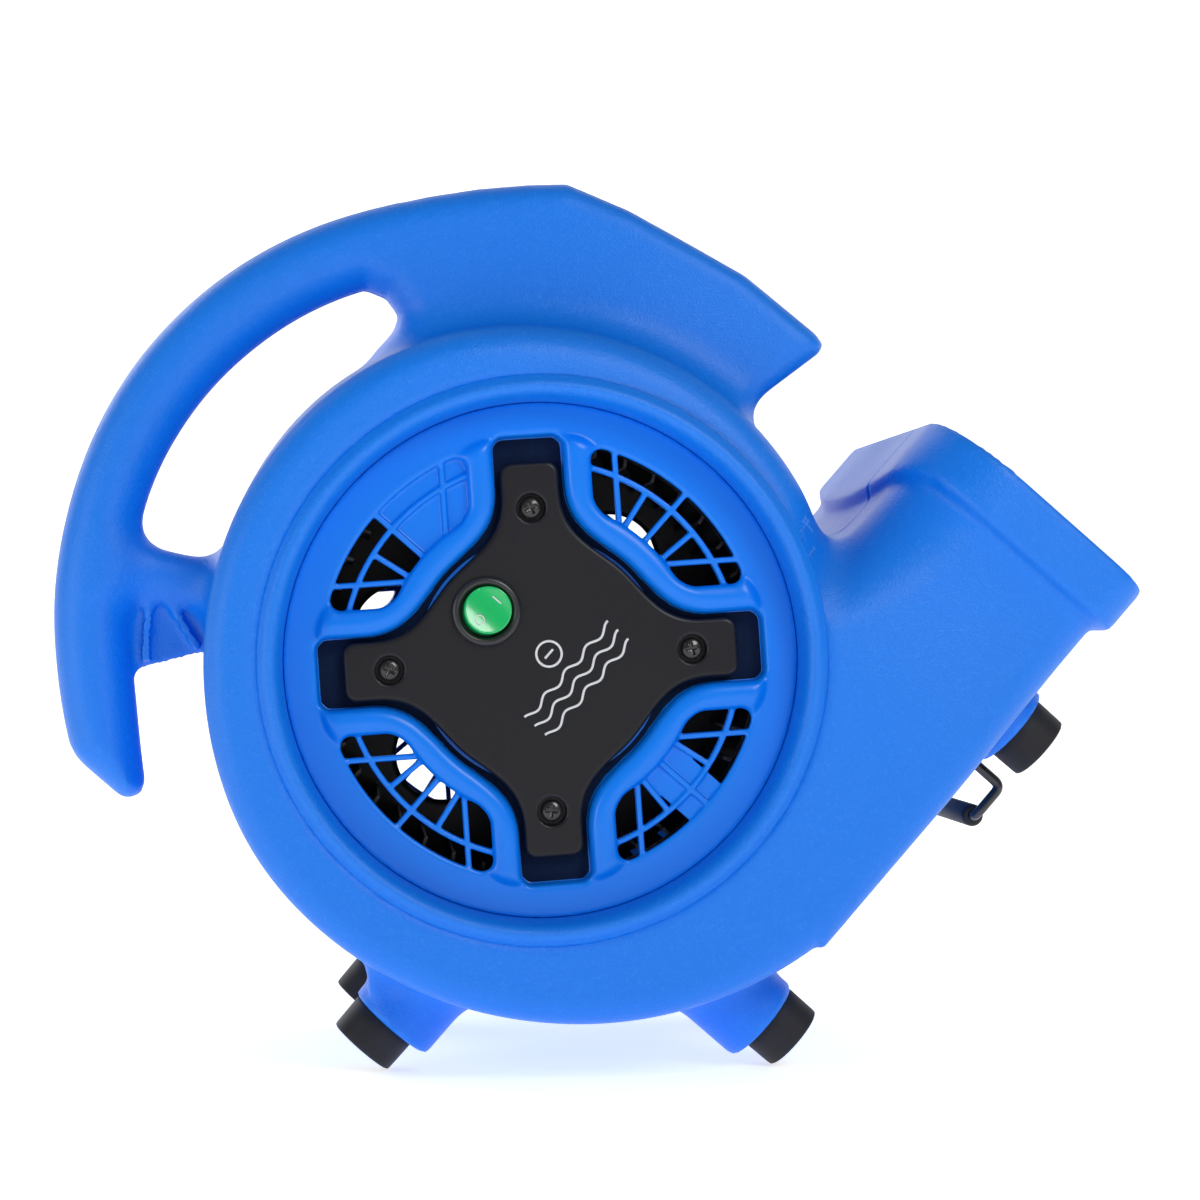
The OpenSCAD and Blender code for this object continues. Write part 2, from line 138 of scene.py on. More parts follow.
def skin(field, low, step):
    """Points and square faces where a field on a grid passes through zero."""
    inside = field < 0
    cells = np.array(field.shape) - 1
    corners = [(i, j, k) for i in (0, 1) for j in (0, 1) for k in (0, 1)]
    count = sum(inside[i:cells[0] + i, j:cells[1] + j, k:cells[2] + k].astype(np.int8)
                for i, j, k in corners)
    crossed = np.argwhere((count > 0) & (count < 8))
    total, hits = np.zeros((len(crossed), 3)), np.zeros(len(crossed))
    for axis in range(3):
        along = np.eye(3, dtype=int)[axis]
        for corner in corners:
            if corner[axis]:
                continue
            here = crossed + np.array(corner)
            a, b = field[tuple(here.T)], field[tuple((here + along).T)]
            cross = (a < 0) != (b < 0)
            t = np.where(cross, a / np.where(cross, a - b, 1), 0)
            total += np.where(cross[:, None], np.array(corner) + t[:, None] * along, 0)
            hits += cross
    points = (crossed + total / hits[:, None]) * step + np.array(low)
    index = np.full(cells, -1)
    index[tuple(crossed.T)] = np.arange(len(crossed))
    faces = []
    for axis in range(3):
        b, c = (axis + 1) % 3, (axis + 2) % 3
        near = [slice(1, -1)] * 3
        far = [slice(1, -1)] * 3
        near[axis], far[axis] = slice(0, -1), slice(1, None)
        start, end = inside[tuple(near)], inside[tuple(far)]
        edge = np.argwhere(start != end)
        outward = start[tuple(edge.T)]
        shift = np.ones(3, int)
        shift[axis] = 0
        cell = edge + shift
        back_b, back_c = np.eye(3, dtype=int)[b], np.eye(3, dtype=int)[c]
        square = np.stack([index[tuple((cell - offset).T)] for offset in
                           (0 * back_b, back_b, back_b + back_c, back_c)], 1)
        faces.append(np.where(outward[:, None], square, square[:, ::-1]))
    return points, np.concatenate(faces)


def to_front(part):
    """A skinned part from the rear side, turned over to the front side."""
    points, faces = part
    return points * (1, -1, 1), faces[:, ::-1]


def grid_axes(low, high, step):
    """The three axes of a grid, shaped so that they broadcast to a volume."""
    axes = [np.arange(a, b + step, step) for a, b in zip(low, high)]
    return axes[0][:, None, None], axes[1][None, :, None], axes[2][None, None, :]


# %% [markdown]
# Turned pieces, such as feet, rims, rings and bushes, come from one profile spun round a line, and
# bent wire comes from a circle carried along its path. Both are a few lines of mesh code, and both
# give clean rings of squares that shade well.

# %% Turned pieces and bent wire
def turned(profile, turns=96, closed=False, place=None):
    """Spins a profile of (radius, height) round +Z. place is a 4x4 matrix into the fan frame."""
    profile = np.array(profile, float)
    angle = np.linspace(0, 2 * math.pi, turns, endpoint=False)
    r, h = profile[:, 0], profile[:, 1]
    points = np.stack([np.outer(np.cos(angle), r), np.outer(np.sin(angle), r),
                       np.tile(h, (turns, 1))], 2).reshape(-1, 3)
    n = len(profile)
    faces = []
    for i in range(turns):
        j = (i + 1) % turns
        for k in range(n if closed else n - 1):
            m = (k + 1) % n
            faces.append([i * n + k, j * n + k, j * n + m, i * n + m])
    if not closed:
        faces.append([i * n for i in reversed(range(turns))])
        faces.append([i * n + n - 1 for i in range(turns)])
    if place is not None:
        rows = np.array(place)
        points = points @ rows[:3, :3].T + rows[:3, 3]
    return points, faces


def side_place(side, x=0.0, z=0.0):
    """Turns +Z to point out of one side of the blower: -1 is the ion switch side."""
    return Matrix.Translation((x, 0, z)) @ Matrix.Rotation(math.radians(90) * -side, 4, "X")


def swept(path, radius, sides=20, caps=True):
    """A round wire along a path of fan-frame points."""
    path = [Vector(p) for p in path]
    points, faces = [], []
    up = Vector((0.123, 0.456, 0.881))
    for i, p in enumerate(path):
        ahead = (path[min(i + 1, len(path) - 1)] - path[max(i - 1, 0)]).normalized()
        across = (up - ahead * up.dot(ahead)).normalized()
        up = across
        other = ahead.cross(across)
        for k in range(sides):
            a = 2 * math.pi * k / sides
            points.append(p + radius * (math.cos(a) * across + math.sin(a) * other))
    for i in range(len(path) - 1):
        for k in range(sides):
            m = (k + 1) % sides
            faces.append([i * sides + k, i * sides + m, (i + 1) * sides + m, (i + 1) * sides + k])
    if caps:
        faces.append([k for k in reversed(range(sides))])
        faces.append([(len(path) - 1) * sides + k for k in range(sides)])
    return np.array(points), faces


def bent(corners, bend, steps=8):
    """Rounds the corners of a path with arcs that start bend away from each corner."""
    corners = [Vector(c) for c in corners]
    path = [corners[0]]
    for before, corner, after in zip(corners, corners[1:], corners[2:]):
        a = corner + (before - corner).normalized() * bend
        b = corner + (after - corner).normalized() * bend
        for i in range(steps + 1):
            t = i / steps
            path.append(a * (1 - t) ** 2 + corner * 2 * t * (1 - t) + b * t * t)
    return path + [corners[-1]]


# %% [markdown]
# ## Finishes
# A mould leaves its own skin on the plastic. The shells have a fine spark-eroded grain that breaks
# up every highlight, the grilles came from a polished mould and are almost smooth, and the black
# parts are satin. The grain and the slow drift in gloss are needed again and again, so each is a
# node group with its own inputs, and each material sets its own values.

# %% Shared effects as node groups
def new_group(name, inputs, outputs):
    group = bpy.data.node_groups.new(name, "ShaderNodeTree")
    for label, kind, value in inputs:
        socket = group.interface.new_socket(label, in_out="INPUT", socket_type=kind)
        if value is not None:
            socket.default_value = value
    for label, kind in outputs:
        group.interface.new_socket(label, in_out="OUTPUT", socket_type=kind)
    return group, group.nodes.new("NodeGroupInput"), group.nodes.new("NodeGroupOutput")


def add_node(tree, kind, operation=None, data_type=None, **values):
    """A node with its sockets set. Spaces in a socket's name are written as underscores."""
    node = tree.nodes.new("ShaderNode" + kind)
    if operation:
        node.operation = operation
    if data_type:
        node.data_type = data_type
    for label, value in values.items():
        node.inputs[label.replace("_", " ")].default_value = value
    return node


def noise_node(tree, scale, detail=3.0, roughness=0.5):
    coords = tree.nodes.new("ShaderNodeTexCoord")
    noise = add_node(tree, "TexNoise", Scale=scale, Detail=detail, Roughness=roughness)
    tree.links.new(coords.outputs["Object"], noise.inputs["Vector"])
    return noise


def build_grain_group():
    """Mould grain: a height for bump, and a mask of its high spots."""
    group, given, made = new_group(
        "mould_grain",
        [("Scale", "NodeSocketFloat", 1500.0), ("Coarse Share", "NodeSocketFloat", 0.3)],
        [("Height", "NodeSocketFloat"), ("High Spots", "NodeSocketFloat")])
    links = group.links
    fine = noise_node(group, 1500.0, 2.0, 0.6)
    links.new(given.outputs["Scale"], fine.inputs["Scale"])
    third = add_node(group, "Math", "MULTIPLY")
    third.inputs[1].default_value = 0.3
    links.new(given.outputs["Scale"], third.inputs[0])
    coarse = noise_node(group, 500.0, 2.0, 0.5)
    links.new(third.outputs[0], coarse.inputs["Scale"])
    blend = group.nodes.new("ShaderNodeMix")
    links.new(given.outputs["Coarse Share"], blend.inputs["Factor"])
    links.new(fine.outputs["Fac"], blend.inputs["A"])
    links.new(coarse.outputs["Fac"], blend.inputs["B"])
    links.new(blend.outputs["Result"], made.inputs["Height"])
    # The plastics lighten this high-spot mask in their colour as painted glints.
    spots = add_node(group, "MapRange", From_Min=0.52, From_Max=0.72)
    links.new(blend.outputs["Result"], spots.inputs["Value"])
    links.new(spots.outputs["Result"], made.inputs["High Spots"])
    return group


def build_drift_group():
    """Slow drift between two values, as flow and handling leave on a moulding."""
    group, given, made = new_group(
        "surface_drift",
        [("Scale", "NodeSocketFloat", 12.0), ("Low", "NodeSocketFloat", 0.4),
         ("High", "NodeSocketFloat", 0.5)],
        [("Value", "NodeSocketFloat"), ("Mask", "NodeSocketFloat")])
    links = group.links
    noise = noise_node(group, 12.0, 3.0, 0.55)
    links.new(given.outputs["Scale"], noise.inputs["Scale"])
    spread = add_node(group, "MapRange", From_Min=0.3, From_Max=0.7)
    links.new(noise.outputs["Fac"], spread.inputs["Value"])
    links.new(given.outputs["Low"], spread.inputs["To Min"])
    links.new(given.outputs["High"], spread.inputs["To Max"])
    links.new(spread.outputs["Result"], made.inputs["Value"])
    links.new(noise.outputs["Fac"], made.inputs["Mask"])
    return group


def build_edge_group():
    """Where edges are rubbed: a mask from how sharply the surface bends."""
    group, given, made = new_group(
        "edge_rub", [("Sharpness", "NodeSocketFloat", 1.0)], [("Mask", "NodeSocketFloat")])
    links = group.links
    geometry = group.nodes.new("ShaderNodeNewGeometry")
    spread = add_node(group, "MapRange", From_Min=0.52, From_Max=0.62)
    links.new(geometry.outputs["Pointiness"], spread.inputs["Value"])
    scaled = add_node(group, "Math", "MULTIPLY")
    links.new(spread.outputs["Result"], scaled.inputs[0])
    links.new(given.outputs["Sharpness"], scaled.inputs[1])
    links.new(scaled.outputs[0], made.inputs["Mask"])
    return group


grain_group = build_grain_group()
drift_group = build_drift_group()
edge_group = build_edge_group()
print("node groups:", grain_group.name, drift_group.name, edge_group.name)


# %% [markdown]
# Plastic is one kind of material with many settings: colour, gloss, how coarse and how deep its
# grain is, how much lighter its rubbed edges look, and how strong the painted glints on its grain are.
# One function builds it, so every plastic piece has grain, painted glints, drift in gloss and rubbed edges, each
# at its own scale.

# %% Plastics and rubber
def plastic(name, colour, gloss=(0.38, 0.5), grain=1500.0, depth=0.02, coarse=0.3, edge=0.2,
            edge_colour=None, tint=0.06, coat=0.0, shine=0.5, glow=0.0, glint_paint=0.08):
    material = bpy.data.materials.new(name)
    material.use_nodes = True
    tree = material.node_tree
    shader = tree.nodes["Principled BSDF"]
    links = tree.links
    drift = tree.nodes.new("ShaderNodeGroup")
    drift.node_tree = drift_group
    drift.inputs["Low"].default_value, drift.inputs["High"].default_value = gloss
    links.new(drift.outputs["Value"], shader.inputs["Roughness"])
    edge_node = tree.nodes.new("ShaderNodeGroup")
    edge_node.node_tree = edge_group
    edge_node.inputs["Sharpness"].default_value = edge
    edge_colour = edge_colour or [min(1.0, c * 1.5 + 0.05) for c in colour]
    shade = add_node(tree, "Mix", data_type="RGBA")
    shade.inputs["A"].default_value = (*colour, 1)
    shade.inputs["B"].default_value = (*[c * (1 - 2 * tint) for c in colour], 1)
    links.new(drift.outputs["Mask"], shade.inputs["Factor"])
    rubbed = add_node(tree, "Mix", data_type="RGBA")
    links.new(edge_node.outputs["Mask"], rubbed.inputs["Factor"])
    links.new(shade.outputs["Result"], rubbed.inputs["A"])
    rubbed.inputs["B"].default_value = (*edge_colour, 1)
    grain_node = tree.nodes.new("ShaderNodeGroup")
    grain_node.node_tree = grain_group
    grain_node.inputs["Scale"].default_value = grain
    grain_node.inputs["Coarse Share"].default_value = coarse
    # Painted glints: the grain's high spots are lightened in the base colour, standing in for highlights sparkling
    # on the grain.
    share = add_node(tree, "Math", "MULTIPLY")
    share.inputs[1].default_value = glint_paint
    links.new(grain_node.outputs["High Spots"], share.inputs[0])
    glinted_colour = add_node(tree, "Mix", data_type="RGBA")
    links.new(share.outputs[0], glinted_colour.inputs["Factor"])
    links.new(rubbed.outputs["Result"], glinted_colour.inputs["A"])
    glinted_colour.inputs["B"].default_value = (*[min(1.0, c * 1.4 + 0.06) for c in colour], 1)
    links.new(glinted_colour.outputs["Result"], shader.inputs["Base Color"])
    bump = add_node(tree, "Bump", Strength=1.0, Distance=depth * MM)
    links.new(grain_node.outputs["Height"], bump.inputs["Height"])
    links.new(bump.outputs["Normal"], shader.inputs["Normal"])
    shader.inputs["Coat Weight"].default_value = coat
    shader.inputs["Coat Roughness"].default_value = 0.1
    shader.inputs["Specular IOR Level"].default_value = shine
    if glow:
        links.new(shade.outputs["Result"], shader.inputs["Emission Color"])
        shader.inputs["Emission Strength"].default_value = glow
    return material


# The shell's grain carries the strongest painted glints.
shell_blue = plastic("shell_blue", (0.0, 0.190, 0.82), gloss=(0.34, 0.44), grain=1500, depth=0.30,
                     coarse=0.3, edge=0.2, edge_colour=(0.04, 0.30, 0.95), shine=0.4, glint_paint=0.24)
grille_blue = plastic("grille_blue", (0.0, 0.200, 0.86), gloss=(0.26, 0.34), grain=2500, depth=0.006,
                      edge=0.25, edge_colour=(0.06, 0.33, 0.95), shine=0.35)
cover_black = plastic("cover_black", (0.008, 0.008, 0.011), gloss=(0.32, 0.42), grain=2600, depth=0.012,
                      edge=0.4, edge_colour=(0.06, 0.06, 0.07), shine=0.3)
wheel_black = plastic("wheel_black", (0.008, 0.008, 0.009), gloss=(0.3, 0.42), grain=2000, depth=0.01,
                      edge=0.3)
rubber_black = plastic("rubber_black", (0.012, 0.011, 0.012), gloss=(0.5, 0.65), grain=1800, depth=0.03,
                       edge=0.3, edge_colour=(0.05, 0.05, 0.055), shine=0.35)
# Near-black sheet colour: painted shade for the floors of the cross-shaped pockets.
pocket_shade_paint = plastic("pocket_shade_paint", (0.001, 0.010, 0.040), gloss=(0.7, 0.9), grain=1600, depth=0.05,
                    edge=0.0, shine=0.15)
switch_black = plastic("switch_black", (0.01, 0.01, 0.011), gloss=(0.2, 0.3), grain=2500, depth=0.006,
                       edge=0.5, edge_colour=(0.09, 0.09, 0.10))
white_mark = plastic("white_mark", (0.75, 0.75, 0.76), gloss=(0.45, 0.55), depth=0.004, edge=0.0)
rocker_green = plastic("rocker_green", (0.0, 0.40, 0.10), gloss=(0.12, 0.2), grain=2500, depth=0.004,
                       edge=0.3, edge_colour=(0.2, 0.8, 0.4), coat=0.6, glow=0.25)
wire_black = plastic("wire_black", (0.010, 0.010, 0.012), gloss=(0.22, 0.35), grain=2500, depth=0.01,
                     edge=0.5, edge_colour=(0.10, 0.10, 0.11), coat=0.4)
print("materials:", len(bpy.data.materials))

# %% [markdown]
# The pieces inside, the breaker, and the screws of the housing and the feet are the frame's own
# nodes. They keep the record's plain materials and are only shaded smooth between their edges.

# %% Nodes that stay
for part in frame["record"]["subparts"]:
    node = frame["nodes"][part["node"]]
    node.data.shade_smooth()
    node.data.set_sharp_from_angle(angle=math.radians(NODE_SHARP))

# %% [markdown]
# ## Housing shells
# The housing is two mouldings. They part on a plane well off the middle, through the centre of the
# handle, so the front one is shallow and the rear one is deep. One field is drawn for the whole
# form: scroll, outlet duct and lip are alike on both sides of the middle, and the arm is alike on
# both sides of the parting plane. All side outlines depend only on x and z, so they are cheap.

# %% Side outlines of the housing
HALF_DEPTH, WALL = 107.0, 3.0
MOUTH_X, FLOOR_Z, TOP_Z = 149.0, -132.5, -52.5
PART_Y = -50.0
LIP_PROUD = 4.5
SCROLL_KEYS = [(-60, 98), (-38, 98.5), (4, 104), (60, 110.5), (110, 110.5), (132, 110.3), (150, 111.3),
               (162, 113.5), (185, 114), (215, 117.2), (228, 120.2), (243, 124), (270, 132.5), (300, 142)]
BULGE = 7.0


def smooth_keys(keys, spread):
    """A curve through (angle, value) keys, with its corners eased over a spread of degrees."""
    angle = np.arange(keys[0][0] - 3 * spread, keys[-1][0] + 3 * spread, 0.5)
    value = np.interp(angle, [k[0] for k in keys], [k[1] for k in keys])
    kernel = np.exp(-0.5 * (np.arange(-3 * spread, 3 * spread + 0.5, 0.5) / spread) ** 2)
    padded = np.pad(value, len(kernel) // 2, mode="edge")
    eased = np.convolve(padded, kernel / kernel.sum(), mode="same")
    half = len(kernel) // 2
    return angle, eased[half:half + len(angle)]


def polar_point(radius, angle):
    return radius * math.cos(math.radians(angle)), radius * math.sin(math.radians(angle))


scroll_angle, scroll_radius = smooth_keys(SCROLL_KEYS, 9)
HANDLE_OUTER = [(20, 161), (36, 161.5), (48, 161.2), (54, 161.6), (60, 163), (68, 165.5), (76, 167.3),
                (84, 168.5), (94, 169), (104, 168.1), (112, 166.5), (124, 164.3), (132, 162), (140, 160.6),
                (155, 158)]
HANDLE_INNER = [(20, 137), (60, 137), (68, 139.8), (76, 141.8), (84, 143), (92, 143.8), (104, 143.5),
                (112, 142), (124, 138.5), (136, 136), (144, 137.2), (148, 139), (155, 141)]
outer_angle, outer_radius = smooth_keys(HANDLE_OUTER, 3)
inner_angle, inner_radius = smooth_keys(HANDLE_INNER, 3)
print("scroll grows from", round(float(scroll_radius.min()), 1), "to",
      round(float(np.interp(270, scroll_angle, scroll_radius)), 1), "mm")


# %% The housing field
def housing_field(x, v, z):
    """The solid form of scroll and duct, and its air space. v is the distance from the middle."""
    radius = np.hypot(x, z)
    angle = np.degrees(np.arctan2(z, x))
    angle = np.where(angle < -90, angle + 360, angle)
    crown = 1 - (v / HALF_DEPTH) ** 2
    bulge = BULGE * (1 - ramp(angle, 75, 130)) * crown
    wall_radius = np.where(angle < -37, 98.5, np.interp(angle, scroll_angle, scroll_radius))
    scroll = radius - wall_radius - bulge
    duct = np.maximum(np.maximum(z - TOP_Z, FLOOR_Z - z), -12 - x)
    fillet = 0.5 + 16 * ramp(z, -105, -85) * ramp(x, 20, 50)
    side = smooth_min(scroll, duct, fillet)
    depth = HALF_DEPTH - 5 * ramp(x, 55, 124)
    along_duct = ramp(x, 45, 115) * (1 - ramp(z, -50, -25))
    rounding = 9 + (3 + 18 * ramp(z, -118, -80)) * along_duct
    body = round_max(side, v - depth, rounding)
    lip = np.maximum(round_max(z - TOP_Z - LIP_PROUD, v - HALF_DEPTH + 0.5, 34),
                     round_max(FLOOR_Z - LIP_PROUD - z, v - HALF_DEPTH + 0.5, 13))
    lip_back = 130 - 14 * np.clip(1 - (v / 95) ** 2, 0, 1) * ramp(z, -100, -60)
    band = round_max(lip, lip_back - x, 3)
    air = np.minimum(body, np.maximum(lip, lip_back + 4 - x)) + WALL
    solid = smooth_min(np.maximum(body, x - MOUTH_X), round_max(band, x - MOUTH_X, 2.2), 4)
    return solid, air, radius, angle


def segment_distance(x, z, start, end):
    """Distance to a straight stretch between two side points."""
    ex, ez = end[0] - start[0], end[1] - start[1]
    t = np.clip(((x - start[0]) * ex + (z - start[1]) * ez) / (ex * ex + ez * ez), 0, 1)
    return np.hypot(x - start[0] - t * ex, z - start[1] - t * ez)


def arm_field(x, w, z, radius, angle):
    """Handle, pointed front, bridge and web. w is the distance from the parting plane."""
    around = np.clip(angle, 20, 155)
    band = np.maximum(radius - np.interp(around, outer_angle, outer_radius),
                      np.interp(around, inner_angle, inner_radius) - radius)
    band = np.maximum(band, (57 - angle) * 2.5)
    band = np.maximum(band, (angle - 170) * 2.5)
    front = [(100, 4.6), (142, -4.4), (145, -3.4), (146, 1), (144.9, 32), (135.5, 76.5), (128.7, 98.1)]
    top = [(float(np.interp(a, outer_angle, outer_radius)), a) for a in (42, 48, 54, 60, 64)]
    hole_end = [(152, 66), (146, 69.5), (141.3, 68.3), (138.8, 65.6), (133.5, 63.4), (126.5, 62.6),
                (121, 63.9), (116, 66.5), (90, 66)]
    front += [polar_point(r, a) for r, a in top + hole_end] + [(80, 5)]
    root = outline_distance(x, z, front)
    side = np.minimum(band, root)
    tail = np.where(x < 0, round_max(-127.5 - x, 71.2 - z, 6), -50.0)
    side = round_max(side, tail, 3)
    wide = 1 - ramp(angle, 18, 72)
    arm = round_max(side, w - 13.5 - 10.5 * wide, 12 - 5.0 * wide)
    bridge_angle = math.radians(118.6)
    along = x * math.cos(bridge_angle) + z * math.sin(bridge_angle)
    across = -x * math.sin(bridge_angle) + z * math.cos(bridge_angle)
    bridge = round_max(np.maximum(np.abs(across) - 9.0, np.maximum(100 - along, along - 150)), w - 9.5, 8)
    web_corners = ((104, 118), (147, 118), (147, 132), (136, 132.6), (104, 128.5))
    web_outline = [polar_point(r, a) for r, a in web_corners]
    web = round_max(outline_distance(x, z, web_outline), w - 2.5, 1.5)
    edge_rib = np.maximum(np.abs(radius - 132) - 1.3, np.maximum(118 - angle, angle - 131.5) * 2.3)
    cross_rib = segment_distance(x, z, polar_point(128, 121), polar_point(115, 129)) - 1.3
    ribs = round_max(np.minimum(edge_rib, cross_rib), w - 6, 1)
    return arm, bridge, np.minimum(web, ribs)


# %% [markdown]
# The lugs flare into the scroll, the inlet is bored through the side with a shallow rebate for its
# rim, and the parting edges are eased, which is what shows as the fine line between the shells.
# The same field is drawn twice, once for each side of the parting plane.

# %% Skins of the two shells
FOOT_Y, FOOT_H = 58.0, 12.0
REAR_FACE_X, REAR_FOOT_Z = -138.2, -41.78
SOLE_Z, MIDDLE_FOOT_X, NOSE_FOOT_X = -152.6, -40.3, 91.0
BOLTS = [(60, 150), (92, 156), (124, 151.5)]
INLET_R, REBATE_R = 84.5, 93.3


def lug_field(x, v, z):
    """The three lugs of one side: round posts with eased ends that run into the scroll."""
    rear = round_max(np.hypot(v - FOOT_Y, z - REAR_FOOT_Z + 2.5) - 15.6, REAR_FACE_X + FOOT_H - x, 2)
    middle = round_max(np.hypot(v - FOOT_Y, x - MIDDLE_FOOT_X + 2.5) - 15.6, SOLE_Z + FOOT_H - z, 2)
    nose = round_max(np.hypot(v - FOOT_Y, x - NOSE_FOOT_X + 1) - 15.2, SOLE_Z + FOOT_H - z, 1.5)
    flank = round_max(np.abs(v - FOOT_Y) - 13, np.maximum(REAR_FACE_X + FOOT_H + 3 - x, -40 - z), 3)
    flank = round_max(flank, (z + 33.5 - 0.75 * (x - REAR_FACE_X - FOOT_H)) * 0.8, 3)
    rear = np.minimum(rear, flank)
    return np.minimum(np.maximum(rear, x + 90), np.maximum(middle, z + 100)), np.maximum(nose, z + 118)


def housing_volume(low, high, step):
    """The whole housing as one hollow field, before it is parted."""
    x, y, z = grid_axes(low, high, step)
    v, w = np.abs(y), np.abs(y - PART_Y)
    solid, air, radius, angle = housing_field(x, v, z)
    arm, bridge, web = arm_field(x, w, z, radius, angle)
    lugs, nose = lug_field(x, v, z)
    outer = smooth_min(solid, arm, 14)
    outer = smooth_min(outer, bridge, 12)
    outer = smooth_min(outer, web, 4)
    outer = smooth_min(outer, lugs, 10)
    outer = smooth_min(outer, nose, 4)
    shell = np.maximum(outer, -air)
    shell = np.maximum(shell, -np.maximum(radius - INLET_R - 3.5, 85 - v))
    shell = np.maximum(shell, -np.maximum(radius - REBATE_R, 105.4 - v))
    for bolt_angle, bolt_radius in BOLTS:
        bolt_x, bolt_z = polar_point(bolt_radius, bolt_angle)
        bore = np.hypot(x - bolt_x, z - bolt_z) - 4.1
        shell = np.maximum(shell, -np.maximum(bore, PART_Y + 8 - y))
    return shell, y


SHELL_STEP = 1.5
SEAM_GAP, SEAM_EASE = 0.15, 0.8
SHELL_LOW, SHELL_HIGH = (-152, PART_Y - 60.75, -143), (154, 111, 177)
shell_volume, shell_y = housing_volume(SHELL_LOW, SHELL_HIGH, SHELL_STEP)
seam = round(60 / SHELL_STEP)
front_field = round_max(shell_volume[:, :seam + 3], shell_y[:, :seam + 3] - PART_Y + SEAM_GAP, SEAM_EASE)
front_skin = skin(front_field, SHELL_LOW, SHELL_STEP)
rear_field = round_max(shell_volume[:, seam - 1:], PART_Y + SEAM_GAP - shell_y[:, seam - 1:], SEAM_EASE)
rear_low = (SHELL_LOW[0], float(shell_y[0, seam - 1, 0]), SHELL_LOW[2])
rear_skin = skin(rear_field, rear_low, SHELL_STEP)
make_piece("front_housing", [front_skin], shell_blue, "housing", ["front_housing_shell"])
make_piece("rear_housing", [rear_skin], shell_blue, "housing", ["rear_housing_shell"])

# %% [markdown]
# ## Inlet rims
# Round the inlet the shell rises into a soft bead, outside a narrow groove, and then drops to the
# grille. The bead is finer than the shell's grid can draw, so it is turned from a profile and sits
# in the rebate. Its groove hides the joint, as the real mould's groove does.

# %% Turned inlet rims
RIM_PROFILE = [(93.25, 105.2), (93.2, 106.2), (92.9, 106.6), (92.4, 106.9), (91.6, 107.7), (90.6, 108.5),
               (89.6, 108.9), (88.6, 108.8), (87.6, 108.2), (86.7, 107.2), (86.0, 105.8), (85.5, 104.0),
               (85.2, 101.5), (85.0, 98.0), (84.9, 91.6), (87.9, 91.6), (87.9, 105.2)]


def rim(side):
    return turned(RIM_PROFILE, 240, closed=True, place=side_place(side))


for end, side in SIDES:
    make_piece(end + "_inlet_rim", [rim(side)], shell_blue, "housing")

# %% [markdown]
# ## Inlet grilles
# The grille is a smooth disc with four quarter windows. Ribs cross each window on an arc, along
# the radius and along the arms. Between the windows lies a cross-shaped pocket, and the wall
# between pocket and window swells into a soft bead. It is a shallow field on a finer grid.

# %% Grille field
GRILLE_R, GRILLE_BACK = 84.85, 92.0
POCKET_FLOOR, POCKET_UNDER = 87.0, 84.5
WINDOW_IN, WINDOW_OUT = 52.0, 72.3
POCKET_HALF, POCKET_W, RIB = 73.8, 23.3, 0.95


def arms_distance(x, z, half, width, hub):
    """A cross with arms at 45 degrees and a round hub, corners and roots eased."""
    root = math.sqrt(0.5)
    u, w = np.abs(x + z) * root, np.abs(x - z) * root
    arm_a = round_max(u - half, w - width / 2, 4.0)
    arm_b = round_max(w - half, u - width / 2, 4.0)
    cross = smooth_min(arm_a, arm_b, 4.0)
    return smooth_min(cross, np.hypot(x, z) - hub, 16.0)


def window_distance(x, z):
    """The four quarter windows, with rounded corners."""
    root = math.sqrt(0.5)
    radius = np.hypot(x, z)
    u, w = np.abs(x + z) * root, np.abs(x - z) * root
    ring = np.maximum(radius - WINDOW_OUT, WINDOW_IN - radius)
    arms = POCKET_W / 2 + 9.0 - np.minimum(u, w)
    return round_max(ring, arms, 5.0)


def rib_distance(x, z, covered):
    """Ribs of all four windows: an arc, a radial rib, two short ones and two beside the arms.

    Where a window is covered from behind, its short rib is left out.
    """
    radius = np.hypot(x, z)
    ribs = np.abs(radius - 65.4) - RIB
    angle = np.arctan2(z, x)
    quarter = (angle + math.pi / 4) % (math.pi / 2) - math.pi / 4
    across, along = radius * np.sin(quarter), radius * np.cos(quarter)
    ribs = np.minimum(ribs, np.abs(across) - RIB)
    for tilt in (-9, 9):
        turn = np.radians(tilt)
        short = np.abs(radius * np.sin(quarter - turn)) - RIB
        short = np.maximum(short, radius - 65.4)
        ribs = np.minimum(ribs, np.where(covered & (x > 0) & (z > x), 9.0, short))
    root = math.sqrt(0.5)
    for sign in (-1, 1):
        beside = np.abs((along * root - sign * across * root) - 28.7) - RIB
        ribs = np.minimum(ribs, beside)
    return ribs


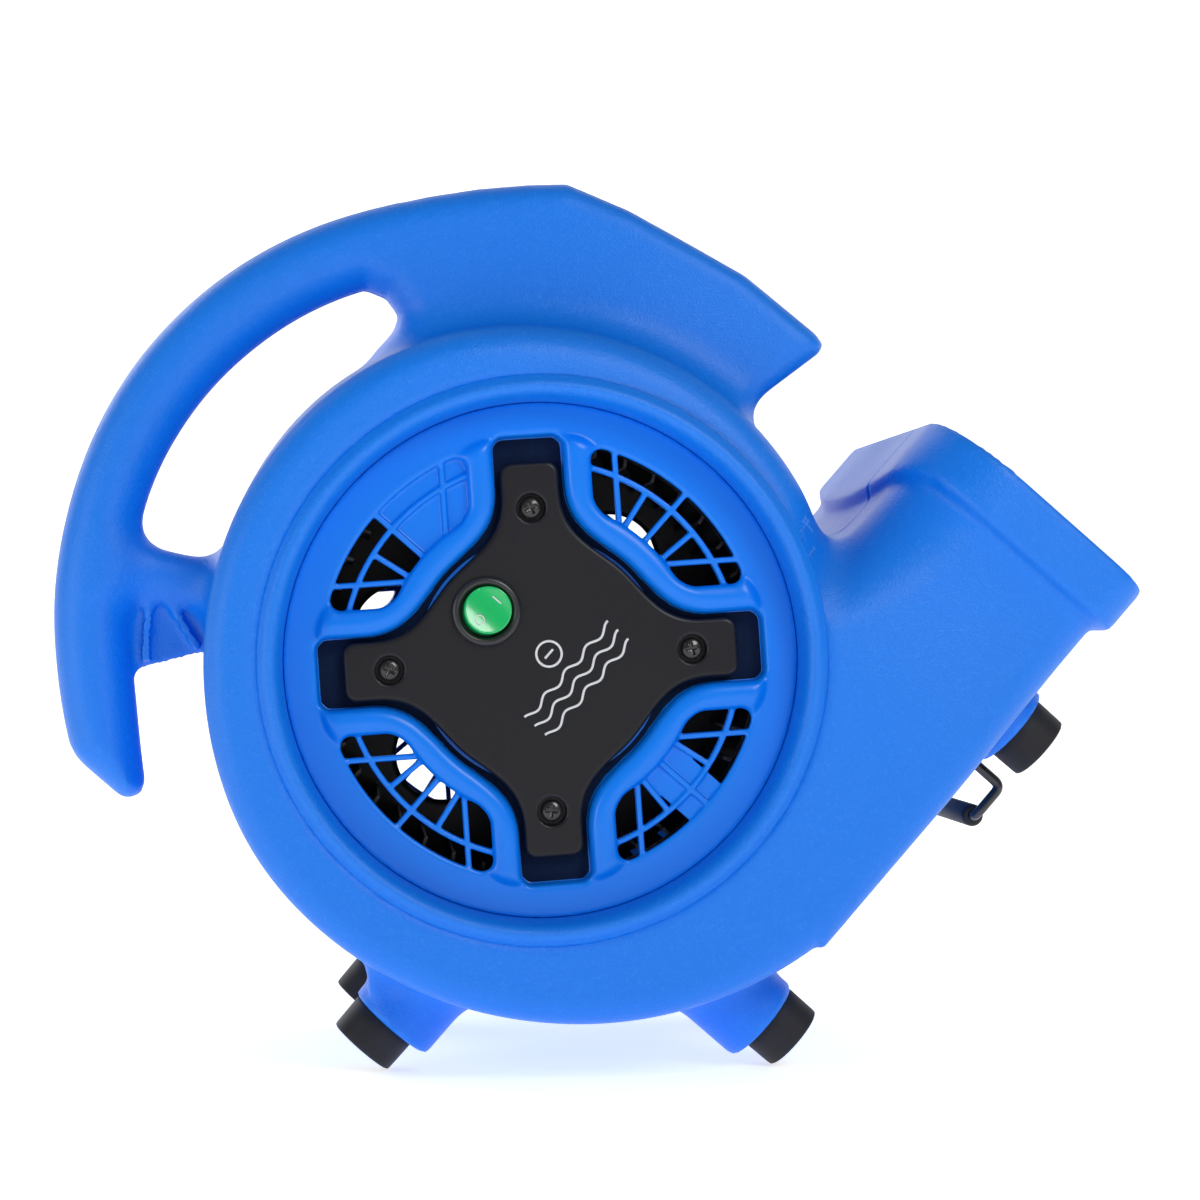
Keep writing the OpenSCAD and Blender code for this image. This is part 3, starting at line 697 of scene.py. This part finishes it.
def grille(step, blanking):
    low, high = (-87, 82, -87), (87, 98.5, 87)
    x, v, z = grid_axes(low, high, step)
    radius = np.hypot(x, z)
    window = window_distance(x, z)
    pocket = arms_distance(x, z, POCKET_HALF, POCKET_W, 43.0)
    gap = window + pocket
    share = np.clip(pocket / np.maximum(gap, 1e-6), 0, 1)
    bead = 2.4 * np.sqrt(np.clip(4 * share * (1 - share), 0, 1)) * (1 - ramp(gap, 9.4, 13))
    bead = np.where((window > 0) & (pocket > 0), bead, 0)
    plate = round_max(np.maximum(v - 94.2 - bead, GRILLE_BACK - v), radius - GRILLE_R, 0.6)
    frame_wall = np.maximum(np.maximum(window - 2.0, -window), np.maximum(v - 93.5, 88.5 - v))
    solid = smooth_min(plate, frame_wall, 1.0)
    cup = np.maximum(pocket - 2.0, np.maximum(v - 93.5, POCKET_UNDER - v))
    solid = np.minimum(solid, cup)
    solid = round_max(solid, -window, 1.2)
    solid = round_max(solid, -np.maximum(pocket, POCKET_FLOOR - v), 2.0)
    solid = np.maximum(solid, -(radius - 37.5))
    ribs = round_max(rib_distance(x, z, blanking), window - 1.0, 0.1)
    ribs = round_max(ribs, np.abs(v - 91.4) - 2.2, 0.8)
    solid = smooth_min(solid, ribs, 0.8)
    angle = np.degrees(np.arctan2(z, x))
    if blanking:
        blank = np.maximum(np.maximum(np.abs(angle - 67.5) - 22.5, window - 1.0), np.abs(v - 91.2) - 1.0)
        strip = np.maximum(np.maximum(np.abs(x) - 8, z), np.maximum(window - 1.0, np.abs(v - 91.2) - 1.0))
        solid = np.minimum(solid, np.minimum(blank, strip))
    return skin(solid, low, step)


def tub(depth):
    """The profile of the round tub behind the pocket."""
    return [(37.5, 87), (40, 87), (40, depth + 2), (39.4, depth + 0.6), (38, depth), (0.4, depth),
            (0.4, depth + 2.5), (36, depth + 2.5), (37.2, depth + 3.2), (37.5, depth + 4.5)]


GRILLE_STEP = 0.6
front_disc = grille(GRILLE_STEP, True)
rear_disc = grille(GRILLE_STEP, False)
make_piece("front_grille", [to_front(front_disc),
                            turned(tub(52.0), 96, True, side_place(-1))],
           grille_blue, "housing", ["front_inlet_grille"])
make_piece("rear_grille", [rear_disc, turned(tub(62.0), 96, True, side_place(1))],
           grille_blue, "housing", ["rear_inlet_grille"])

# %% [markdown]
# A thin near-black sheet lies on the floor of each pocket. It is painted shade: it darkens the pocket
# floor like the shadow that falls there. It is the pocket's own outline, drawn as a slab and then pressed flat.

# %% Sheets of painted shade in the pockets
def painted_shade_sheet(side, step=0.8):
    low, high = (-76, 84, -76), (76, 90, 76)
    x, v, z = grid_axes(low, high, step)
    slab = np.maximum(arms_distance(x, z, POCKET_HALF - 0.1, POCKET_W - 0.2, 42.9), np.abs(v - 87) - 1.5)
    slab = np.maximum(slab, 41 - np.hypot(x, z))
    points, faces = skin(slab, low, step)
    points[:, 1] = np.clip(points[:, 1], POCKET_FLOOR + 0.03, POCKET_FLOOR + 0.13)
    return to_front((points, faces)) if side < 0 else (points, faces)


# Each pocket floor gets a near-black sheet as painted shade.
for end, side in SIDES:
    make_piece(end + "_painted_shade_sheet", [painted_shade_sheet(side)], pocket_shade_paint, "housing")

# %% [markdown]
# ## Cover plates
# Each pocket is closed by a black satin cap with four round-ended arms. Its edge is softly
# rounded, so it catches a thin line of light. Each screw sits at the bottom of a round recess.

# %% Cover plates
COVER_TOP = 92.5
ARM_HALF, ARM_W, SCREW_R = 65.2, 19.5, 50.2
SWITCH_Z = 24.2
SCREW_ANGLES = [math.radians(45 + 90 * arm) for arm in range(4)]


def cover(step, holes):
    """A cap with four arms. holes are (x, z, radius) through its middle."""
    low, high = (-68, 86, -68), (68, 94.5, 68)
    x, v, z = grid_axes(low, high, step)
    shape = arms_distance(x, z, ARM_HALF, ARM_W, 40.0)
    cap = round_max(shape, v - COVER_TOP, 1.3)
    cap = np.maximum(cap, POCKET_FLOOR + 0.15 - v)
    hollow = np.maximum(shape + 2.0, v - 90.0)
    for a in SCREW_ANGLES:
        away = np.hypot(x - SCREW_R * math.cos(a), z - SCREW_R * math.sin(a))
        hollow = np.maximum(hollow, 7.0 - away)
    cap = np.maximum(cap, -hollow)
    for a in SCREW_ANGLES:
        away = np.hypot(x - SCREW_R * math.cos(a), z - SCREW_R * math.sin(a))
        cap = round_max(cap, -np.maximum(away - 4.75, 88.5 - v), 0.5)
        cap = np.maximum(cap, 2.2 - away)
    for hx, hz, hr in holes:
        cap = round_max(cap, hr - np.hypot(x - hx, z - hz), 0.4)
    return skin(cap, low, step)


COVER_STEP = 0.5
front_cap = cover(COVER_STEP, [(0, SWITCH_Z, 10.1)])
rear_cap = cover(COVER_STEP, [(0, 0, 3.6), (0, -24, 7.3), (-24, 0, 5.3)])
make_piece("front_cover", [to_front(front_cap)],
           cover_black, "housing", ["front_cover_plate"])
make_piece("rear_cover", [rear_cap], cover_black, "housing", ["rear_cover_plate"])


# %% [markdown]
# ## Screws of the covers
# The cover screws are blackened pan heads with a cross recess. The head is turned, and the recess
# is cut by drawing the head as a small field with two crossed wedges taken out of it.

# %% Cross-head screws
def screw_head(step=0.2):
    low, high = (-4.2, -1.4, -4.2), (4.2, 3.2, 4.2)
    x, v, z = grid_axes(low, high, step)
    away = np.hypot(x, z)
    head = np.maximum(np.hypot(away, v + 4.2) - 6.8, np.maximum(-v, away - 3.6))
    depth = 0.5 + 0.28 * away
    for a, b in ((x, z), (z, x)):
        wedge = np.maximum(np.abs(a) - 0.5, np.abs(b) - 2.1)
        head = np.maximum(head, -np.maximum(wedge, depth - v + 0.2))
    return skin(head, low, step)


def cover_screws(side):
    head_points, head_faces = screw_head(0.2)
    parts = []
    for a in SCREW_ANGLES:
        x, z = SCREW_R * math.cos(a), SCREW_R * math.sin(a)
        turn = np.array(Matrix.Rotation(a * 1.7 + side, 3, "Y"))
        points = head_points @ turn.T + (0, POCKET_FLOOR + 1.55, 0)
        if side < 0:
            parts.append((points * (1, -1, 1) + (x, 0, z), head_faces[:, ::-1]))
        else:
            parts.append((points + (x, 0, z), head_faces))
        parts.append(turned([(1.75, 79.2), (1.75, 88.6)], 24, False, side_place(side, x, z)))
    return parts


for end, side in SIDES:
    make_piece(end + "_cover_screw_set", cover_screws(side), wire_black, "housing",
               [end + "_cover_screws"])

# %% [markdown]
# ## Ion switch
# The switch is a round panel rocker: a black flange with a raised lip, and a green lit rocker with
# a dished face. Its two marks, a ring and a bar, are the usual off and on signs and stand a little
# proud. They ride on the rocker, so they tip with it.

# %% Ion switch
SWITCH_FLANGE = [(8.7, 81.0), (9.9, 81.0), (9.9, 92.5), (11.4, 92.5), (11.5, 93.2), (11.3, 94.0),
                 (10.8, 94.5), (10.0, 94.7), (9.3, 94.5), (8.9, 94.0), (8.7, 93.2)]
switch_ring = turned(SWITCH_FLANGE, 128, True, side_place(-1, 0, SWITCH_Z))
switch_can = turned([(0.5, 73.0), (9.5, 73.0), (9.9, 73.6), (9.9, 81.0), (0.5, 81.0)], 64, True,
                    side_place(-1, 0, SWITCH_Z))
blades = []
for tab_x in (-4, 4):
    blades.append(swept([(tab_x, -73.0, SWITCH_Z), (tab_x, -65.2, SWITCH_Z)], 1.1, 12))
make_piece("ion_switch", [switch_ring, switch_can] + blades, switch_black, "housing",
           ["ion_switch_body"])

ROCKER_Y, ROCKER_R = 90.5, 7.9
ROCKER_TILT = math.radians(7)


def rocker(step):
    """The rocker's cap in its own place: v is its height over the pivot."""
    low, high = (-9, -3, -9), (9, 7.5, 9)
    x, v, z = grid_axes(low, high, step)
    away = np.hypot(x, z)
    dished = v - 4.9 - 0.018 * x * x
    cap = round_max(np.maximum(away - ROCKER_R, -v), dished, 0.5)
    pin = np.maximum(np.hypot(x, v) - 1.9, np.abs(z) - 7.5)
    return skin(np.minimum(cap, pin), low, step)


def on_rocker(points):
    """Puts points from the rocker's own place (x, height, z) into the fan frame, tilted at rest."""
    points = np.asarray(points) * (1, -1, 1)
    turn = np.array(Matrix.Rotation(ROCKER_TILT, 3, "Z"))
    return points @ turn.T + (0, -ROCKER_Y, SWITCH_Z)


rocker_points, rocker_faces = rocker(0.25)
make_piece("ion_rocker", [(on_rocker(rocker_points), rocker_faces[:, ::-1])], rocker_green,
           "ion_rocker", ["ion_switch_rocker"])


def mark_height(x):
    return 5.0 + 0.018 * x * x


ring_path = [(-4.3 + 1.5 * math.cos(t), mark_height(-4.3 + 1.5 * math.cos(t)), 1.5 * math.sin(t))
             for t in np.linspace(0, 2 * math.pi, 33)]
bar_path = [(4.4, mark_height(4.4), -1.9), (4.4, mark_height(4.4), 1.9)]
marks = [swept(ring_path, 0.22, 8, False), swept(bar_path, 0.24, 8)]
marks = [(on_rocker(points), faces) for points, faces in marks]
make_piece("rocker_marks", marks, white_mark, "ion_rocker")

# %% [markdown]
# The cover carries no words. It has a plain sign for charged air: a minus in a ring over three
# waves, drawn as a thin raised print.

# %% Sign for charged air
def print_line(path, width=0.45):
    return swept([(x, -COVER_TOP - 0.02, z) for x, z in path], width, 8)


def sign_lines():
    ring = [(4.2 * math.cos(t) + 3, 4.2 * math.sin(t) - 0.5) for t in np.linspace(0, 2 * math.pi, 41)]
    lines = [ring, [(1.0, -0.5), (5.0, -0.5)]]
    for row in range(3):
        lines.append([(s, -9 - 4.5 * row + 1.0 * math.sin(s * 0.6)) for s in np.linspace(-18, 24, 61)])
    return [print_line(line, 0.42) for line in lines]


make_piece("charged_air_sign", sign_lines(), white_mark, "housing")

# %% [markdown]
# ## Cage wheel
# The wheel moves the air: many thin, forward-curved blades between two end rings, and a spoked
# disc in the middle that takes the drive. Each blade is an arc in section, so it is drawn as one
# closed outline and run from ring to ring. The loop turns it round the axis.

# %% Cage wheel
WHEEL_R, BLADES = 81.0, 42


def blade_outline():
    """One curved blade in section, as (x, z) points round its edge."""
    centre, inner, outer = [], 70.2, 80.6
    for t in np.linspace(0, 1, 9):
        radius = inner + (outer - inner) * t
        lean = math.radians(9.0 * t * t)
        centre.append((radius * math.cos(lean), radius * math.sin(lean)))
    thick = 0.55
    left, right = [], []
    for i, (x, z) in enumerate(centre):
        ax, az = centre[max(i - 1, 0)]
        bx, bz = centre[min(i + 1, len(centre) - 1)]
        length = math.hypot(bx - ax, bz - az)
        nx, nz = -(bz - az) / length * thick, (bx - ax) / length * thick
        left.append((x + nx, z + nz))
        right.append((x - nx, z - nz))
    return left + right[::-1]


def run_through(outline, y0, y1):
    """A closed side outline carried from depth y0 to y1."""
    n = len(outline)
    points = [(x, y, z) for y in (y0, y1) for x, z in outline]
    faces = [[k, (k + 1) % n, n + (k + 1) % n, n + k] for k in range(n)]
    return np.array(points), faces + [list(range(n))[::-1], [n + k for k in range(n)]]


def wheel_parts():
    blade_points, blade_faces = run_through(blade_outline(), -80, 80)
    parts = []
    for i in range(BLADES):
        turn = np.array(Matrix.Rotation(2 * math.pi * i / BLADES, 3, "Y"))
        parts.append((blade_points @ turn.T, blade_faces))
    ring_profile = [(73, 78.4), (73, 81.4), (73.6, 82), (80.4, 82), (WHEEL_R, 81.4), (WHEEL_R, 78.4),
                    (80.4, 78), (73.6, 78)]
    for side in (-1, 1):
        parts.append(turned(ring_profile, 160, True, side_place(side)))
    return parts


def wheel_disc(step):
    low, high = (-83, -8, -83), (83, -1, 83)
    x, y, z = grid_axes(low, high, step)
    radius = np.hypot(x, z)
    angle = np.arctan2(z, x)
    sector = (angle + math.pi / 6) % (math.pi / 3) - math.pi / 6
    hole = np.hypot(radius * np.cos(sector) - 46, radius * np.sin(sector)) - 16.5
    disc = np.maximum(radius - WHEEL_R + 1.5, np.abs(y + 4.5) - 1.5)
    disc = round_max(disc, -hole, 0.8)
    return skin(np.maximum(disc, 12.05 - radius), low, step)


middle_disc = wheel_disc(1.0)
make_piece("cage_wheel", wheel_parts() + [middle_disc], wheel_black, "impeller", ["impeller_wheel"])

# %% [markdown]
# ## Rubber feet
# A foot is a moulded buffer, slightly tapered, with an eased sole and a recess for its screw. The
# same profile is turned six times. The rear pair faces backwards, for standing the blower on its
# tail so that it blows straight up.

# %% Rubber feet
FOOT_R = 12.0
FOOT_PROFILE = [(4.5, 6.0), (4.5, 0.9), (4.9, 0.35), (5.8, 0.1), (8.5, 0.0), (11.2, 0.05), (11.7, 0.4),
                (11.8, 1.2), (11.85, 2.4), (11.95, 8.0), (FOOT_R, 11.6), (11.7, FOOT_H), (2.2, FOOT_H),
                (2.2, 6.0)]


def foot_pair(place):
    return [turned(FOOT_PROFILE, 80, True, place(side)) for side in (-1, 1)]


def rear_place(side):
    face = Matrix.Translation((REAR_FACE_X, side * FOOT_Y, REAR_FOOT_Z))
    return face @ Matrix.Rotation(math.pi / 2, 4, "Y")


def sole_place(x):
    return lambda side: Matrix.Translation((x, side * FOOT_Y, SOLE_Z))


FEET = {"rear": rear_place, "middle": sole_place(MIDDLE_FOOT_X), "nose": sole_place(NOSE_FOOT_X)}
for pair, place in FEET.items():
    make_piece(pair + "_feet", foot_pair(place), rubber_black, "housing", [pair + "_rubber_feet"])

# %% [markdown]
# ## Bail
# A wire stand folds out from under the duct. The wire is one rod, bent four times and hooked into
# two clips, and a rubber sleeve is pushed over its bar so that it grips the floor.

# %% Bail wire, sleeve and clips
BAIL_X, BAIL_Z, BAIL_Y, BAIL_R = 74.5, -137.5, 38.0, 1.8
BAIL_REACH, BAIL_DROP = 14.0, 17.5
bar_x, bar_z = BAIL_X - BAIL_REACH, BAIL_Z - BAIL_DROP
wire_corners = [(BAIL_X, -20, BAIL_Z), (BAIL_X, -BAIL_Y, BAIL_Z), (BAIL_X, -BAIL_Y, bar_z),
                (bar_x, -BAIL_Y, bar_z), (bar_x, BAIL_Y, bar_z), (BAIL_X, BAIL_Y, bar_z),
                (BAIL_X, BAIL_Y, BAIL_Z), (BAIL_X, 20, BAIL_Z)]
make_piece("bail_rod", [swept(bent(wire_corners, 3.2), BAIL_R, 24)], wire_black, "bail",
           ["bail_wire"])
SLEEVE_END = BAIL_Y - 3.6
sleeve_half = [(3.95, SLEEVE_END - 1.8), (3.6, SLEEVE_END - 0.5), (2.9, SLEEVE_END), (1.85, SLEEVE_END)]
sleeve_profile = [(r, -h) for r, h in reversed(sleeve_half)] + sleeve_half
sleeve_at = Matrix.Translation((bar_x, 0, bar_z)) @ Matrix.Rotation(-math.pi / 2, 4, "X")
make_piece("bail_grip", [turned(sleeve_profile, 48, True, sleeve_at)], rubber_black, "bail",
           ["bail_sleeve"])


def clip(side, step):
    low, high = (BAIL_X - 7, side * 28 - 7, BAIL_Z - 6), (BAIL_X + 7, side * 28 + 7, FLOOR_Z + 2)
    x, y, z = grid_axes(low, high, step)
    block = round_max(np.abs(x - BAIL_X) - 5, np.abs(y - side * 28) - 5, 1.2)
    block = round_max(block, BAIL_Z - 4 - z, 1.5)
    block = np.maximum(block, z - FLOOR_Z)
    return skin(np.maximum(block, 1.95 - np.hypot(x - BAIL_X, z - BAIL_Z)), low, step)


make_piece("bail_clip_pair", [clip(side, 0.4) for side in (-1, 1)], cover_black,
           "housing", ["bail_clips"])

# %% [markdown]
# ## Controls on the rear cover
# The other side carries the speed knob, the circuit breaker's button and the gland that the lead
# goes into. The knob is a disc with a grip bar across it and a white pointer, and its position
# numbers are left as plain dots.

# %% Knob, gland and dots
def knob(step):
    low, high = (-16, 91, -16), (16, 107, 16)
    x, v, z = grid_axes(low, high, step)
    away = np.hypot(x, z)
    disc = round_max(away - 14 + 0.06 * (v - 92.9), np.maximum(v - 96.5, 92.9 - v), 0.8)
    grip = round_max(np.maximum(np.abs(x) - 3.5 + 0.08 * (v - 96), away - 12.5), v - 105.5, 1.0)
    grip = np.maximum(grip, 94 - v)
    return skin(smooth_min(disc, grip, 2.0), low, step)


knob_stem = turned([(0.3, 84), (3.0, 84), (3.0, 93.5), (0.3, 93.5)], 32, True, side_place(1))
make_piece("speed_control_knob", [knob(0.5), knob_stem], cover_black,
           "knob", ["speed_knob"])
pointer = swept([(0, 105.55, 4.0), (0, 105.55, 11.0)], 0.5, 8)
make_piece("knob_pointer", [pointer], white_mark, "knob")
dots = []
for number in range(4):
    a = math.radians(90 - 45 * number)
    dots.append(turned([(0.05, 92.4), (0.9, 92.4), (0.9, 92.62), (0.7, 92.7), (0.05, 92.7)], 24, True,
                       side_place(1, 18.0 * math.cos(a), 18.0 * math.sin(a))))
make_piece("speed_dots", dots, white_mark, "housing")

GLAND_PROFILE = [(3.6, 85), (7.1, 85), (7.1, 92.5), (9.5, 92.5), (9.5, 96.6), (9.0, 97.4), (7.4, 97.6),
                 (7.0, 98.4), (6.9, 103.2), (6.3, 104.2), (4.4, 104.5), (3.7, 104.0)]
gland = turned(GLAND_PROFILE, 64, True, side_place(1, 0, -24))
make_piece("lead_gland", [gland], cover_black, "housing", ["cord_gland"])

# %% [markdown]
# ## Floor, light and camera
# The blower is shown on a pale sheet that curves up behind it. A large soft lamp stands in front, a
# little to the right and above, a weaker one at the left, and the pale room gives the rest. The
# camera stands a metre off, level with the wheel's axis and a little to its left.

# %% Stage
def sweep_sheet():
    rows = [(-5.0, 0.0), (1.2, 0.0)]
    for a in np.linspace(0.1, math.pi / 2, 12):
        rows.append((1.2 + 0.8 * math.sin(a), 0.8 - 0.8 * math.cos(a)))
    rows += [(2.0, 3.2)]
    points = [(x, y, z) for y, z in rows for x in (-5.0, 5.0)]
    faces = [[2 * i, 2 * i + 1, 2 * i + 3, 2 * i + 2] for i in range(len(rows) - 1)]
    mesh = bpy.data.meshes.new("sweep")
    mesh.from_pydata(points, [], faces)
    mesh.shade_smooth()
    sheet = bpy.data.objects.new("sweep", mesh)
    bpy.context.scene.collection.objects.link(sheet)
    paper = bpy.data.materials.new("pale_paper")
    paper.use_nodes = True
    shader = paper.node_tree.nodes["Principled BSDF"]
    shader.inputs["Base Color"].default_value = (0.93, 0.93, 0.94, 1)
    shader.inputs["Roughness"].default_value = 0.9
    shader.inputs["Specular IOR Level"].default_value = 0.1
    shader.inputs["Emission Color"].default_value = (1, 1, 1, 1)
    shader.inputs["Emission Strength"].default_value = 0.62
    mesh.materials.append(paper)
    return sheet


def lamp(name, place, aim, size, power, shape="RECTANGLE"):
    light = bpy.data.lights.new(name, "AREA")
    light.shape, light.size, light.size_y, light.energy = shape, size[0], size[1], power
    lamp_object = bpy.data.objects.new(name, light)
    bpy.context.scene.collection.objects.link(lamp_object)
    lamp_object.location = place
    lamp_object.rotation_euler = (Vector(aim) - Vector(place)).to_track_quat("-Z", "Y").to_euler()
    return lamp_object


sweep_sheet()
TARGET = (0, 0, 0.15)
lamp("key", (0.7, -1.5, 1.15), TARGET, (0.7, 0.7), 13)
lamp("fill", (-1.6, -1.0, 0.35), TARGET, (0.7, 0.7), 6)
lamp("back", (-0.9, 1.0, 0.9), TARGET, (0.8, 0.8), 5)
world = bpy.data.worlds.new("studio")
world.use_nodes = True
world.node_tree.nodes["Background"].inputs["Color"].default_value = (1, 1, 1, 1)
world.node_tree.nodes["Background"].inputs["Strength"].default_value = 0.24
bpy.context.scene.world = world
bpy.context.scene.view_settings.view_transform = "Standard"

# %% Camera
camera_data = bpy.data.cameras.new("camera")
camera = bpy.data.objects.new("camera", camera_data)
bpy.context.scene.collection.objects.link(camera)
camera_data.lens = 87.27
camera_data.sensor_width = 36.0
camera_data.clip_start, camera_data.clip_end = 0.05, 20
camera.location = (fan_axis.x - 0.0614, -1.05, fan_axis.z + 0.0125)
camera.rotation_euler = (math.radians(90.43), 0, math.radians(-4.814))
bpy.context.scene.camera = camera
print("camera at", [round(c, 3) for c in camera.location])
